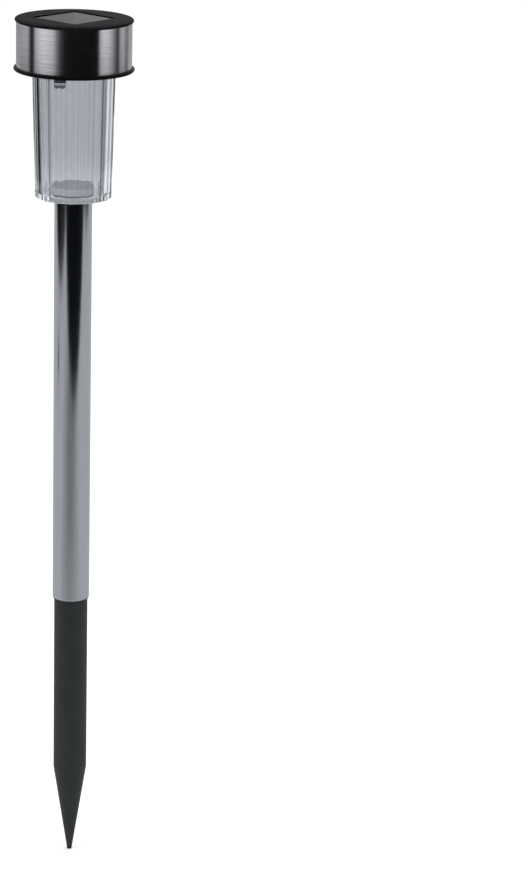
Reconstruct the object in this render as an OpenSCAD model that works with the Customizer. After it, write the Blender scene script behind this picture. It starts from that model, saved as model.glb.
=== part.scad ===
// Solar garden light: a stainless pole on a plastic ground spike, a clear fluted lens,
// and a head that holds the solar cell, the battery and the LED.
// The origin is on the pole's axis at ground level, under the spike's stop collar. +Z is up.

/* [Pole] */
// Outer diameter of the steel tube
pole_d = 16; // [13:0.1:20]
// Wall of the steel tube
pole_wall = 0.4; // [0.3:0.05:0.6]
// Whole length of the steel tube
pole_l = 182; // [120:1:600]

/* [Ground spike] */
// Straight shaft that goes into the ground
shaft_l = 80.1; // [50:0.1:150]
// Point below the shaft
point_l = 40.5; // [20:0.1:70]
// Diameter of the blunt tip
tip_d = 2; // [1:0.1:4]
// Gap between the shaft and the tube's bore, all round
shaft_gap = 0.325; // [0.2:0.005:1]
// Wall of the hollow spike
spike_wall = 2; // [1.2:0.1:3]
// Plug that stands inside the tube
plug_l = 28; // [15:1:40]
// Ribs round the plug
plug_ribs = 6; // [4:1:8]
// Height of a plug rib
rib_h = 0.9; // [0.5:0.1:1.2]
// Width of a plug rib
rib_w = 1.4; // [0.8:0.1:2]
// Thickness of the stop collar under the tube
collar_t = 0.6; // [0.4:0.1:2]
// How far the collar stays inside the tube's outside
collar_set_in = 0.2; // [0.05:0.05:0.3]

/* [Lens] */
// Outer diameter at the bottom, over the ridges
lens_bottom_d = 32.4; // [28:0.1:42]
// Outer diameter at the rim
lens_top_d = 35.15; // [29.3:0.05:60]
// Height from the bottom edge to the rim
lens_h = 57.7; // [40:0.1:120]
// Wall, from the ridges to the inside
lens_wall = 1.7; // [1.3:0.05:2.5]
// Thickness of the floor
floor_t = 2; // [1.2:0.1:3]
// Flutes round the outside
flutes = 18; // [12:1:24]
// Depth of a flute below the ridges
flute_depth = 0.5; // [0.3:0.05:0.7]
// Width of the flat land left on each ridge, at the bottom
land_w = 0.3; // [0.2:0.05:0.8]
// Turn of the first ridge from -Y
first_ridge = -2; // [-20:1:20]
// Plain rim above the flutes
plain_rim = 4.7; // [4:0.1:8]
// Depth of the socket that the tube stands in
socket_depth = 3.5; // [2.5:0.1:12]
// Wall and roof of the socket
socket_wall = 1.5; // [1:0.1:2]
// Spigot inside the tube, below the lens
spigot_l = 15; // [8:0.5:25]
// Wall of the spigot
spigot_wall = 1.5; // [1:0.1:2]

/* [Bayonet] */
// Lugs on the lens and entry slots in the head
lugs = 3; // [2:1:4]
// Radial height of a lug
lug_out = 1.2; // [0.8:0.05:1.6]
// Thickness of a lug along the axis
lug_t = 1.4; // [1:0.05:2]
// Plain rim above a lug
lug_below_rim = 1.1; // [0.4:0.05:1.5]
// Angle that a lug covers
lug_angle = 24; // [12:1:30]
// Turn from entry to lock
lock_turn = 25; // [20:1:30]
// Width of the stop at each end of the turn, as an angle
stop_angle = 4; // [3:1:6]
// Thickness of the rubber seal
seal_t = 0.8; // [0.5:0.05:1.5]
// How far the seal stays inside both edges of the rim
seal_inset = 0.15; // [0.1:0.05:0.3]

/* [Head shell] */
// Thickness of the flange at the head's foot
flange_t = 1.6; // [1.2:0.1:3]
// How far the flange stands out past the ring
flange_out = 1.1; // [0.5:0.05:3]
// Wall of the well round the lens rim
well_wall = 1.5; // [1:0.1:2.5]
// Gutter between the well and the shell
gutter_w = 1.75; // [0.8:0.05:4]
// Wall of the shell inside the ring
shell_wall = 1.2; // [0.8:0.1:2]
// Wall of the steel ring
ring_wall = 0.4; // [0.3:0.05:0.8]
// Plate between the well and the electronics
plate_t = 1.5; // [1.2:0.1:2.5]
// Thickness of the cap's edge
cap_t = 1.5; // [1.2:0.1:3]
// How far the cap stands out past the ring
cap_out = 0.6; // [0.2:0.05:2]
// Width of the gentle slope round the cap's top
cap_slope_w = 2.8; // [1:0.1:5]
// Drop of that slope
cap_slope = 0.3; // [0.1:0.05:0.5]
// Depth of the cap's skirt inside the shell
skirt_h = 3; // [2:0.1:4]
// Wall of the cap's skirt
skirt_wall = 1; // [0.8:0.1:1.5]

/* [Solar panel] */
// Side of the square silicon cell
cell_w = 22.4; // [16:0.1:24]
// Black border round the cell
border_w = 0.9; // [0.5:0.1:1.5]
// Gap between the panel and its recess
panel_gap = 0.2; // [0.1:0.05:0.5]
// Thickness of the panel's backing
backing_t = 0.5; // [0.4:0.1:1]
// Thickness of the silicon cell
cell_t = 0.3; // [0.2:0.05:0.5]
// Thickness of the clear cover over the cell
window_t = 0.5; // [0.4:0.1:1.5]
// How far the cover lies below the cap's top
window_sunk = 0.3; // [0.2:0.1:2]
// Floor under the panel
pan_floor = 0.6; // [0.5:0.1:1.2]
// Wall of the pan that hangs from the cap
pan_wall = 1; // [0.8:0.1:1.5]
// Turn of the square panel and of all the head holds
head_turn = -45; // [-90:1:90]

/* [Battery] */
// Diameter of the rechargeable cell, over its sleeve
battery_d = 10.5; // [9:0.1:12.6]
// Length of the cell with its nub
battery_l = 30; // [25:0.1:36]
// Thickness of the plastic sleeve
sleeve_t = 0.2; // [0.1:0.05:0.3]
// Wall of the can: thick, so that the hollow can weighs what the filled cell does
can_wall = 1.3; // [0.8:0.1:2]
// Diameter of the positive nub
nub_d = 3.8; // [3:0.1:5]
// Height of the positive nub
nub_h = 0.8; // [0.5:0.1:1.2]
// Gap under the battery and beside it
battery_gap = 0.5; // [0.3:0.05:1]
// Gap between the battery and the panel's pan
battery_headroom = 2; // [0.5:0.1:3]
// Thickness of the cradle's walls
cradle_wall = 0.8; // [0.6:0.1:1.2]
// Height of the cradle's side walls
cheek_h = 4; // [2:0.5:6]
// Width of the contacts
contact_w = 6; // [4:0.5:7]
// Height of the contacts
contact_h = 6; // [4:0.5:7]
// Width of the solder tab over each contact
contact_tab_w = 2; // [1.5:0.1:3]
// Thickness of the contact strip
contact_t = 0.3; // [0.2:0.05:0.4]
// Room for the sprung leaf at the negative end
leaf_room = 1.2; // [0.8:0.1:1.6]

/* [Circuit board] */
// Length of the board
board_l = 14; // [12:0.5:20]
// Board in front of the LED
board_front = 5.9; // [4:0.1:6.5]
// Board behind the LED
board_back = 2.2; // [2.2:0.1:4]
// Thickness of the board
board_t = 1; // [0.8:0.1:1.6]
// Height of the board above the plate
board_lift = 2; // [1:0.1:3]

/* [LED] */
// Distance of the LED from the head's axis
led_offset = 7.5; // [7.5:0.1:9]
// Diameter of the LED's clear body
led_d = 5; // [3:0.1:5.2]
// Straight part of the LED's body
led_body_h = 0.5; // [0.3:0.1:3]
// How far the LED hangs below the flange
led_drop = 7; // [3:0.1:15]
// Diameter of the spacer on the LED's legs
spacer_d = 4.6; // [3.6:0.1:5]
// Distance between the LED's legs
leg_pitch = 2.54; // [1.6:0.01:2.54]
// Side of a square leg
leg_w = 0.5; // [0.4:0.05:0.6]

/* [Switch] */
// Length of the switch's case
switch_l = 8.6; // [7:0.1:10]
// Width of the switch's case
switch_w = 3.7; // [3.4:0.1:5]
// Height of the switch's case
switch_h = 3.5; // [3:0.1:5]
// Travel of the knob
switch_travel = 2; // [1:0.1:3]
// How far the knob stands out below the plate
knob_out = 1.2; // [0.5:0.1:2]
// Width of the knob's stem
stem_w = 1.6; // [1:0.1:2]

/* [Screws] */
// Diameter of a screw's shank
screw_d = 1.6; // [1.4:0.1:2]
// Diameter of a screw's head
screw_head_d = 3; // [2.6:0.1:3.2]
// Height of a screw's head
screw_head_h = 1; // [0.8:0.1:1.2]
// Length of a screw under its head
screw_l = 9; // [6:0.5:11]
// Outer diameter of a screw post
post_d = 3.2; // [3:0.1:4]

/* [Hidden] */
$fn = 96;

// Gaps: a sliding fit, a hand clearance, a piece laid in its place. Then a cut's overshoot, and how
// far one solid sinks into the next where they are one moulding.
slide_gap = 0.08;
turn_gap = 0.3;
seat_gap = 0.1;
over = 1;
sink = 0.1;

// Pole and spike.
bore_r = pole_d / 2 - pole_wall;
shaft_r = bore_r - shaft_gap;
plug_r = bore_r - slide_gap;
pole_z = collar_t;
tip_z = -shaft_l - point_l;
rib_stop = 2;

// Lens, from its own bottom edge.
lens_z = pole_z + pole_l - socket_depth;
bottom_r = lens_bottom_d / 2;
rim_r = lens_top_d / 2;
rim_in = rim_r - lens_wall;
lens_lean = atan((rim_r - bottom_r) / lens_h);
flute_h = lens_h - plain_rim;
socket_r = pole_d / 2 + slide_gap;
spigot_r = bore_r - slide_gap;
rim_z = lens_z + lens_h;
lug_z = lens_h - lug_below_rim - lug_t;

// Head, from the underside of its flange.
mouth_r = rim_r + turn_gap;
well_r = rim_r + lug_out + turn_gap;
well_out = well_r + well_wall;
shell_in = well_out + gutter_w;
shell_r = shell_in + shell_wall;
ring_in = shell_r + seat_gap;
ring_r = ring_in + ring_wall;
flange_r = ring_r + flange_out;
cap_r = ring_r + cap_out;
well_depth = flange_t + turn_gap + lug_t + lug_below_rim + seal_t;
head_z = rim_z + seal_t - well_depth;
plate_top = well_depth + plate_t;
battery_z = plate_top + battery_gap + battery_d / 2;
pan_bottom = battery_z + battery_d / 2 + battery_headroom;
backing_z = pan_bottom + pan_floor;
cell_z = backing_z + backing_t;
window_z = cell_z + cell_t;
cap_top = window_z + window_t + window_sunk;
ring_top = cap_top - cap_t;
shell_top = ring_top - seat_gap;
// Angles: play of a lug in its slot, and from the middle of a slot to the middle of a stop.
lug_play = 1;
to_stop = lug_angle / 2 + 1.5 * lug_play + stop_angle / 2;

// Plan of the head's inside, in the frame that turns with the panel.
led_y = -led_offset;
board_y0 = led_y - board_front;
board_y1 = led_y + board_back;
board_z = plate_top + board_lift;
board_top = board_z + board_t;
cheek_y = battery_d / 2 + battery_gap / 2;
bay_y = board_y1 + turn_gap + cradle_wall + cheek_y;
bay_front = bay_y - cheek_y - cradle_wall;
bay_back = bay_y + cheek_y + cradle_wall;
contact_z = battery_z - contact_h / 2;
negative_x = -battery_l / 2 - leaf_room;
post_r = post_d / 2;
post_x = board_l / 2 + turn_gap + post_r;
post_y = bay_front - turn_gap - post_r;
back_post = [-4.5, bay_back + turn_gap + post_r];
POSTS = [[-post_x, post_y], [post_x, post_y], back_post];
switch_aside = 1.5;
switch_x = back_post[0] + post_r + 2 * turn_gap + switch_l / 2 + switch_aside;
switch_y = bay_back + turn_gap + switch_w / 2;
slot_l = switch_travel + stem_w + 2 * turn_gap;
slot_w = stem_w + turn_gap;
shoe_l = slot_l - 2 * turn_gap;
shoe_w = slot_w + 0.7;
shoe_h = 1;
led_tip_z = -led_drop;
led_round_z = led_tip_z + led_d / 2;
led_seat_z = led_round_z + led_body_h;
leg_sunk = 0.4;
leg_above_board = 0.6;
panel_w = cell_w + 2 * border_w;
recess_w = panel_w + 2 * panel_gap;
pan_w = recess_w + 2 * pan_wall;

// Pegs that hold the board, and the two parts on it, in the head's plan.
peg_x = board_l / 2 - 1.5;
peg_y = board_y0 + 1.4;
peg_d = 1;
rest_d = 2.2;
parts_x = board_l / 2 - 3;
parts_y = board_y1 - 3.4;

// Insulated wires, and where each run ends, in the head's plan.
wire_d = 1;
wire_side = 0.9;
wire_hole = wire_d + 0.4;
panel_pad_y = 1.6 - cell_w / 2;
board_panel_y = board_y0 + 3.4;
board_switch_y = board_y1 - 0.9;
board_battery = [board_l / 2 - 3.4, board_y0 + 0.8];
above_middle = 3;
end_wall_h = battery_gap + battery_d / 2 + above_middle;
contact_tab_h = contact_h / 2 + 2;
contact_tab_z = plate_top + end_wall_h + wire_d / 2 + 0.05;
crossing_z = (battery_z + battery_d / 2 + pan_bottom) / 2;

// Outer radius of the leaning wall of the lens at a height above its bottom.
function wall_at(height) = bottom_r + (rim_r - bottom_r) * height / lens_h;

// Points of a round corner in a turned outline.
function corner(r, z, size, from, to, steps = 5) =
  [for (i = [0 : steps]) let (a = from + (to - from) * i / steps)
    [r + size * cos(a), z + size * sin(a)]];

module at_lens() {
  translate([0, 0, lens_z]) children();
}

module at_head() {
  translate([0, 0, head_z]) rotate([0, 0, head_turn]) children();
}

// A box from one corner, centred on x and y.
module block(size, at) {
  translate([at[0] - size[0] / 2, at[1] - size[1] / 2, at[2]]) cube(size);
}

// A tube along z.
module tube(outer, inner, z0, z1) {
  translate([0, 0, z0]) difference() {
    cylinder(r = outer, h = z1 - z0);
    translate([0, 0, -over]) cylinder(r = inner, h = z1 - z0 + 2 * over);
  }
}

// A sector of a ring, centred on one angle.
module arc_block(outer, inner, z0, z1, middle, angle) {
  translate([0, 0, z0]) rotate([0, 0, middle - angle / 2]) rotate_extrude(angle = angle)
    translate([inner, 0]) square([outer - inner, z1 - z0]);
}

module ground_spike() {
  color([0.17, 0.18, 0.2]) difference() {
    union() {
      translate([0, 0, -shaft_l]) cylinder(r = shaft_r, h = shaft_l);
      translate([0, 0, tip_z]) cylinder(r1 = tip_d / 2, r2 = shaft_r, h = point_l);
      cylinder(r = pole_d / 2 - collar_set_in, h = collar_t);
      translate([0, 0, collar_t - sink]) cylinder(r = plug_r - rib_h, h = plug_l + sink);
      intersection() {
        translate([0, 0, collar_t - sink]) cylinder(r = plug_r, h = plug_l - rib_stop);
        for (i = [0 : plug_ribs - 1]) rotate([0, 0, i * 360 / plug_ribs])
          block([rib_w, plug_r * 2, plug_l + over], [0, plug_r, 0]);
      }
    }
    translate([0, 0, -shaft_l]) cylinder(r = shaft_r - spike_wall, h = shaft_l + plug_l + 2 * over);
  }
}

module pole_tube() {
  color([0.75, 0.76, 0.78]) tube(pole_d / 2, bore_r, pole_z, pole_z + pole_l);
}

// One flute: a round groove laid along the leaning wall.
module flute(angle) {
  half = bottom_r * sin(180 / flutes) - land_w / 2;
  rise = bottom_r - sqrt(bottom_r * bottom_r - half * half);
  sag = flute_depth - rise;
  groove_r = (half * half + sag * sag) / (2 * sag);
  rotate([0, 0, angle]) translate([0, -bottom_r, 0]) rotate([lens_lean, 0, 0])
    translate([0, flute_depth - groove_r, -over]) cylinder(r = groove_r, h = flute_h + over, $fn = 192);
}

module lens() {
  color([0.85, 0.88, 0.9, 0.35]) at_lens() {
    difference() {
      union() {
        difference() {
          cylinder(r1 = bottom_r, r2 = rim_r, h = lens_h);
          for (i = [0 : flutes - 1]) flute(first_ridge + (i + 0.5) * 360 / flutes);
          difference() {
            translate([0, 0, floor_t])
              cylinder(r1 = wall_at(floor_t) - lens_wall, r2 = wall_at(lens_h + over) - lens_wall,
                h = lens_h - floor_t + over);
            cylinder(r = socket_r + socket_wall, h = socket_depth + socket_wall);
          }
        }
        for (i = [0 : lugs - 1])
          arc_block(rim_r + lug_out, rim_r - lens_wall / 2, lug_z, lug_z + lug_t, i * 360 / lugs, lug_angle);
      }
      translate([0, 0, -over]) cylinder(r = socket_r, h = socket_depth + over);
    }
    tube(spigot_r, spigot_r - spigot_wall, -spigot_l, socket_depth + sink);
  }
}

module lens_seal() {
  color([0.1, 0.1, 0.1]) tube(rim_r - seal_inset, rim_in + seal_inset, rim_z, rim_z + seal_t);
}

// The turned body of the base: flange, shell, gutter, well and plate in one outline.
module base_body() {
  edge = flange_t / 2;
  rotate_extrude() polygon(concat(
    [[mouth_r, 0]],
    corner(flange_r - edge, edge, edge, -90, 90, 8),
    [[shell_r, flange_t], [shell_r, shell_top], [shell_in, shell_top], [shell_in, flange_t],
     [well_out, flange_t], [well_out, plate_top], [0, plate_top], [0, well_depth],
     [well_r, well_depth], [well_r, flange_t], [mouth_r, flange_t]]));
}

// The cradle's side and end walls, and the two rests with pegs that the board sits on.
module base_fittings() {
  side_l = battery_l - 6;
  end_w = contact_w + 1;
  behind = contact_t + seat_gap + cradle_wall / 2;
  peg_above_board = 0.5;
  for (side = [-1, 1])
    block([side_l, cradle_wall, cheek_h], [0, bay_y + side * (cheek_y + cradle_wall / 2), plate_top]);
  for (x = [negative_x - behind, battery_l / 2 + behind])
    block([cradle_wall, end_w, end_wall_h], [x, bay_y, plate_top]);
  for (x = [-1, 1] * peg_x) translate([x, peg_y, plate_top]) {
    cylinder(d = rest_d, h = board_lift);
    cylinder(d = peg_d, h = board_lift + board_t + peg_above_board);
  }
}

// A stop between the flange and the well's ceiling, sunk into both and into the well's wall.
module bayonet_stop(middle) {
  arc_block(well_r + 2 * sink, mouth_r + sink, flange_t - 2 * sink, well_depth + 2 * sink, middle,
    stop_angle);
}

module head_base() {
  color([0.14, 0.15, 0.17]) at_head() difference() {
    union() {
      base_body();
      translate([0, 0, -sink]) base_fittings();
      // Stops at both ends of the bayonet's turn.
      rotate([0, 0, -head_turn]) for (i = [0 : lugs - 1]) {
        bayonet_stop(i * 360 / lugs - to_stop);
        bayonet_stop(i * 360 / lugs + lock_turn + to_stop);
      }
    }
    // Entry slots through the flange.
    rotate([0, 0, -head_turn]) for (i = [0 : lugs - 1])
      arc_block(well_r, mouth_r - over, -over, flange_t + sink / 10, i * 360 / lugs,
        lug_angle + 2 * lug_play);
    for (p = POSTS) translate([p[0], p[1], 0])
      cylinder(d = screw_d + turn_gap, h = plate_top + over);
    translate([0, led_y, 0]) cylinder(d = spacer_d + 2 * seat_gap, h = plate_top + over);
    block([slot_l, slot_w, plate_top + over], [switch_x, switch_y, 0]);
  }
}

module steel_ring() {
  color([0.78, 0.79, 0.8]) at_head() tube(ring_r, ring_in, flange_t, ring_top);
}

module top_cap() {
  edge = (cap_t - cap_slope) / 2;
  pan_h = cap_top - cap_t / 3 - pan_bottom;
  corner_cut = 1.38;
  thread_gap = 0.04;
  color([0.2, 0.21, 0.23]) at_head() difference() {
    union() {
      rotate_extrude() polygon(concat(
        [[0, ring_top]],
        corner(cap_r - edge, ring_top + edge, edge, -90, 90, 8),
        [[cap_r - cap_slope_w, cap_top], [0, cap_top]]));
      tube(shell_in - seat_gap, shell_in - seat_gap - skirt_wall, ring_top - skirt_h, ring_top + sink);
      intersection() {
        block([pan_w, pan_w, pan_h], [0, 0, pan_bottom]);
        rotate([0, 0, 45]) block([pan_w * corner_cut, pan_w * corner_cut, cap_top], [0, 0, 0]);
      }
      for (p = POSTS) translate([p[0], p[1], plate_top + seat_gap])
        cylinder(d = post_d, h = pan_bottom - plate_top);
    }
    block([recess_w, recess_w, cap_top], [0, 0, backing_z]);
    for (p = POSTS) translate([p[0], p[1], 0])
      cylinder(d = screw_d + thread_gap, h = plate_top + screw_l);
    panel_wire_holes(pan_bottom);
  }
}

// The two holes that the panel's wires go down through.
module panel_wire_holes(z) {
  for (x = [-1, 1] * wire_side) translate([x, panel_pad_y, z - over])
    cylinder(d = wire_hole, h = pan_floor + 2 * over);
}

module panel_backing() {
  color([0.06, 0.06, 0.07]) at_head() difference() {
    block([panel_w, panel_w, backing_t], [0, 0, backing_z]);
    panel_wire_holes(backing_z);
  }
}

module solar_cell() {
  color([0.48, 0.49, 0.5]) at_head() block([cell_w, cell_w, cell_t], [0, 0, cell_z]);
}

// Clear resin that covers the cell's top and sides.
module cell_window() {
  color([0.8, 0.82, 0.85, 0.35]) at_head() difference() {
    block([panel_w, panel_w, cell_t + window_t], [0, 0, cell_z]);
    block([cell_w, cell_w, cell_t + over], [0, 0, cell_z - over]);
  }
}

module battery_can() {
  color([0.7, 0.71, 0.72]) at_head() translate([-battery_l / 2, bay_y, battery_z]) rotate([0, 90, 0]) {
    difference() {
      cylinder(d = battery_d - 2 * sleeve_t, h = battery_l - nub_h);
      translate([0, 0, can_wall])
        cylinder(d = battery_d - 2 * sleeve_t - 2 * can_wall, h = battery_l - nub_h - 2 * can_wall);
    }
    translate([0, 0, battery_l - nub_h - sink]) cylinder(d = nub_d, h = nub_h + sink);
  }
}

module battery_sleeve() {
  bare_end = 0.2;
  color([0.1, 0.4, 0.25]) at_head() translate([-battery_l / 2, bay_y, battery_z]) rotate([0, 90, 0])
    tube(battery_d / 2, battery_d / 2 - sleeve_t, bare_end, battery_l - nub_h - bare_end);
}

module positive_contact() {
  color([0.75, 0.7, 0.5]) at_head() {
    block([contact_t, contact_w, contact_h], [battery_l / 2 + contact_t / 2, bay_y, contact_z]);
    block([contact_t, contact_tab_w, contact_tab_h], [battery_l / 2 + contact_t / 2, bay_y, battery_z]);
  }
}

// A flat strip with a bowed leaf that presses on the can.
module negative_contact() {
  bow_r = 4;
  leaf_w = contact_h - 4;
  touch_gap = 0.02;
  strip_x = negative_x - contact_t / 2;
  color([0.75, 0.7, 0.5]) at_head() {
    block([contact_t, contact_w, contact_h], [strip_x, bay_y, contact_z]);
    block([contact_t, contact_tab_w, contact_tab_h], [strip_x, bay_y, battery_z]);
    intersection() {
      translate([-battery_l / 2 - bow_r - touch_gap, bay_y, battery_z - leaf_w / 2])
        tube(bow_r, bow_r - contact_t, 0, leaf_w);
      block([leaf_room + contact_t, contact_w, contact_h], [strip_x + leaf_room / 2, bay_y, contact_z]);
    }
  }
}

module circuit_board() {
  leg_hole = 0.9;
  color([0.12, 0.42, 0.22]) at_head() difference() {
    translate([-board_l / 2, board_y0, board_z]) cube([board_l, board_y1 - board_y0, board_t]);
    for (x = [-1, 1] * peg_x) translate([x, peg_y, board_z - over])
      cylinder(d = peg_d + seat_gap, h = board_t + 2 * over);
    for (x = [-1, 1] * leg_pitch / 2) translate([x, led_y, board_z - over])
      cylinder(d = leg_hole, h = board_t + 2 * over);
  }
}

// The driver: a small black block that stands on four legs in a row.
module driver_chip() {
  body = [3.6, 5, 1.6];
  pitch = 1.27;
  leg = 0.4;
  color([0.08, 0.08, 0.08]) at_head() translate([parts_x, parts_y, board_top]) {
    block(body, [0, 0, leg]);
    for (k = [-1.5 : 1.5]) block([leg, leg, leg + 2 * sink], [0, k * pitch, 0]);
  }
}

// The choke that lifts the battery's voltage, laid on the board with its two leads bent down.
module inductor() {
  body_d = 2.6;
  body_l = 5.2;
  lead = 0.5;
  lift = 1.5;
  color([0.2, 0.5, 0.35]) at_head() translate([-parts_x, parts_y, board_top + lift]) rotate([90, 0, 0]) {
    translate([0, 0, -body_l / 2]) cylinder(d = body_d, h = body_l);
    for (side = [-1, 1]) translate([0, 0, side * (body_l / 2 + lead / 2)]) {
      translate([0, 0, -lead / 2 - sink]) cylinder(d = lead, h = lead + 2 * sink);
      translate([-lead / 2, -lift, -lead / 2]) cube([lead, lift + sink, lead]);
    }
  }
}

module led_dome() {
  color([0.9, 0.92, 0.95, 0.4]) at_head() translate([0, led_y, led_round_z]) {
    difference() {
      union() {
        sphere(d = led_d);
        cylinder(d = led_d, h = led_body_h);
      }
      translate([0, 0, led_body_h]) cylinder(d = led_d + over, h = led_d);
      for (x = [-1, 1] * leg_pitch / 2) block([leg_w, leg_w, led_d], [x, 0, -leg_sunk]);
    }
  }
}

module led_legs() {
  low = led_round_z - leg_sunk;
  color([0.8, 0.8, 0.8]) at_head() for (x = [-1, 1] * leg_pitch / 2)
    block([leg_w, leg_w, board_top + leg_above_board - low], [x, led_y, low]);
}

module led_spacer() {
  color([0.07, 0.07, 0.08]) at_head() difference() {
    translate([0, led_y, led_seat_z]) cylinder(d = spacer_d, h = board_z - led_seat_z);
    for (x = [-1, 1] * leg_pitch / 2) translate([x, led_y, led_seat_z - over])
      cylinder(d = leg_w * 1.5 + seat_gap, h = board_z - led_seat_z + 2 * over);
  }
}

module switch_case() {
  color([0.15, 0.15, 0.16]) at_head() difference() {
    block([switch_l, switch_w, switch_h], [switch_x, switch_y, plate_top]);
    block([shoe_l + switch_travel + 2 * seat_gap, shoe_w + 2 * seat_gap, shoe_h + 2 * seat_gap + over],
      [switch_x, switch_y, plate_top - over]);
  }
}

// Stands at the end of its travel, towards -x of the head's plan: that is on.
module switch_knob() {
  color([0.9, 0.9, 0.88]) at_head() translate([-switch_travel / 2, 0, 0]) {
    block([shoe_l, shoe_w, shoe_h], [switch_x, switch_y, plate_top + seat_gap]);
    block([stem_w, stem_w, plate_t + knob_out + seat_gap + sink],
      [switch_x, switch_y, well_depth - knob_out]);
  }
}

// A wire with flat ends, swept along its points: each ring stands across the mean direction.
// No wire runs along off_axis, so each ring can be turned from it.
module wire(points, d = wire_d, sides = 8) {
  n = len(points);
  off_axis = [0.31, 0.85, 0.42];
  way = [for (i = [0 : n - 1]) let (v = points[min(i + 1, n - 1)] - points[max(i - 1, 0)]) v / norm(v)];
  rings = [for (i = [0 : n - 1])
    let (side = cross(way[i], off_axis), u = side / norm(side), w = cross(way[i], u))
    for (k = [0 : sides - 1]) points[i] + d / 2 * (u * cos(k * 360 / sides) + w * sin(k * 360 / sides))];
  walls = [for (i = [0 : n - 2], k = [0 : sides - 1], half = [0, 1])
    let (a = i * sides + k, b = i * sides + (k + 1) % sides)
      half == 0 ? [a, a + sides, b + sides] : [a, b + sides, b]];
  first = [for (k = [0 : sides - 1]) k];
  last = [for (k = [0 : sides - 1]) n * sides - 1 - k];
  polyhedron(points = rings, faces = concat(walls, [first], [last]), convexity = 6);
}

// Points of one smooth bend, from a towards lead_a, and from lead_b into b.
function bend(a, lead_a, lead_b, b, steps = 8) =
  [for (i = [0 : steps]) let (t = i / steps, s = 1 - t)
    a * s * s * s + lead_a * 3 * s * s * t + lead_b * 3 * s * t * t + b * t * t * t];

// The same with a short straight piece at both ends, so that the cut ends lie flat.
function run(a, lead_a, lead_b, b, straight = 0.4) =
  let (start = a + straight * (lead_a - a) / norm(lead_a - a),
    stop = b + straight * (lead_b - b) / norm(lead_b - b))
    concat([a], bend(start, lead_a, lead_b, stop), [b]);

module panel_wires() {
  mid_z = (pan_bottom + board_top) / 2;
  color([0.7, 0.1, 0.1]) at_head() for (x = [-1, 1] * wire_side)
    wire(run([x, panel_pad_y, cell_z], [x, panel_pad_y, mid_z], [x, board_panel_y, mid_z],
      [x, board_panel_y, board_top]));
}

// One wire from a contact's outer face, round the post, to the board's front edge.
module battery_wire(side, from_x) {
  out = 3.2;
  drop = 4;
  straight = 0.4;
  past_post = [side * (post_x + 3.4), post_y - 1.4, (contact_tab_z + board_top) / 2 + 1];
  over_wall = [side * 1.2, 3.5, 3.6];
  pad = [side * board_battery[0], board_battery[1], board_top];
  wire(concat(
    run([from_x, bay_y, contact_tab_z], [from_x + side * out, bay_y, contact_tab_z],
      past_post + over_wall, past_post),
    bend(past_post, past_post - over_wall, pad + [0, 0, drop], pad + [0, 0, straight]),
    [pad]));
}

module battery_wires() {
  color([0.1, 0.1, 0.12]) at_head() {
    battery_wire(1, battery_l / 2 + contact_t);
    battery_wire(-1, negative_x - contact_t);
  }
}

// Two wires from the switch to the board, over the battery.
module switch_wires() {
  terminal_x = 1.6;
  below_crossing = 1;
  color([0.8, 0.7, 0.1]) at_head() for (side = [-1, 1])
    let (from_x = switch_x + side * terminal_x, to_x = side * wire_side,
      mid = [(from_x + to_x) / 2, bay_y, crossing_z], lead = [(from_x - to_x) * 0.16, 5.5, 0])
      wire(concat(
        run([from_x, switch_y, plate_top + switch_h], [from_x, switch_y, crossing_z - below_crossing],
          mid + lead, mid),
        run(mid, mid - lead, [to_x, board_switch_y, crossing_z - below_crossing],
          [to_x, board_switch_y, board_top])));
}

module case_screws() {
  cross_w = 0.4;
  cross_l = 1.8;
  cross_depth = 0.5;
  point_gap = 0.6;
  color([0.8, 0.8, 0.8]) at_head() for (p = POSTS) translate([p[0], p[1], 0]) {
    translate([0, 0, well_depth - screw_head_h]) difference() {
      cylinder(d = screw_head_d, h = screw_head_h);
      for (a = [0, 90]) rotate([0, 0, a]) block([cross_w, cross_l, 2 * cross_depth], [0, 0, -cross_depth]);
    }
    translate([0, 0, well_depth - sink]) cylinder(d = screw_d, h = screw_l - point_gap + sink);
  }
}

ground_spike();
pole_tube();
lens();
lens_seal();
head_base();
steel_ring();
top_cap();
panel_backing();
solar_cell();
cell_window();
battery_can();
battery_sleeve();
positive_contact();
negative_contact();
circuit_board();
driver_chip();
inductor();
led_dome();
led_legs();
led_spacer();
switch_case();
switch_knob();
panel_wires();
battery_wires();
switch_wires();
case_screws();
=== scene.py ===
import math
import random

import bmesh
import bpy
from mathutils import Matrix, Vector


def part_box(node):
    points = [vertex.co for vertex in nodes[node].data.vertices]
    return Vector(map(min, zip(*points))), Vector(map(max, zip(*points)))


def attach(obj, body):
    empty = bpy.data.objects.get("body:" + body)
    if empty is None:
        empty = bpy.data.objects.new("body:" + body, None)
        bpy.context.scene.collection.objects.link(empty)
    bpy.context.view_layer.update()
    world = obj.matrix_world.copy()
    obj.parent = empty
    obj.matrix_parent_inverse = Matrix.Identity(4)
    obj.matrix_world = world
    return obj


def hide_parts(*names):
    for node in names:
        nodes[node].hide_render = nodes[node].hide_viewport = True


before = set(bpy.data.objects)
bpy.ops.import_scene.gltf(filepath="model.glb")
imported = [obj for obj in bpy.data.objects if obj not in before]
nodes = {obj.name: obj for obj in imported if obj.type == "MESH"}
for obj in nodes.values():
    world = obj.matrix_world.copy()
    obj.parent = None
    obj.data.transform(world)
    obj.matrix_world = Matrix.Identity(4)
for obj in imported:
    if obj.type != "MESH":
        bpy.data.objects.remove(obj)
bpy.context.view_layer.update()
mm = 0.001

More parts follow.
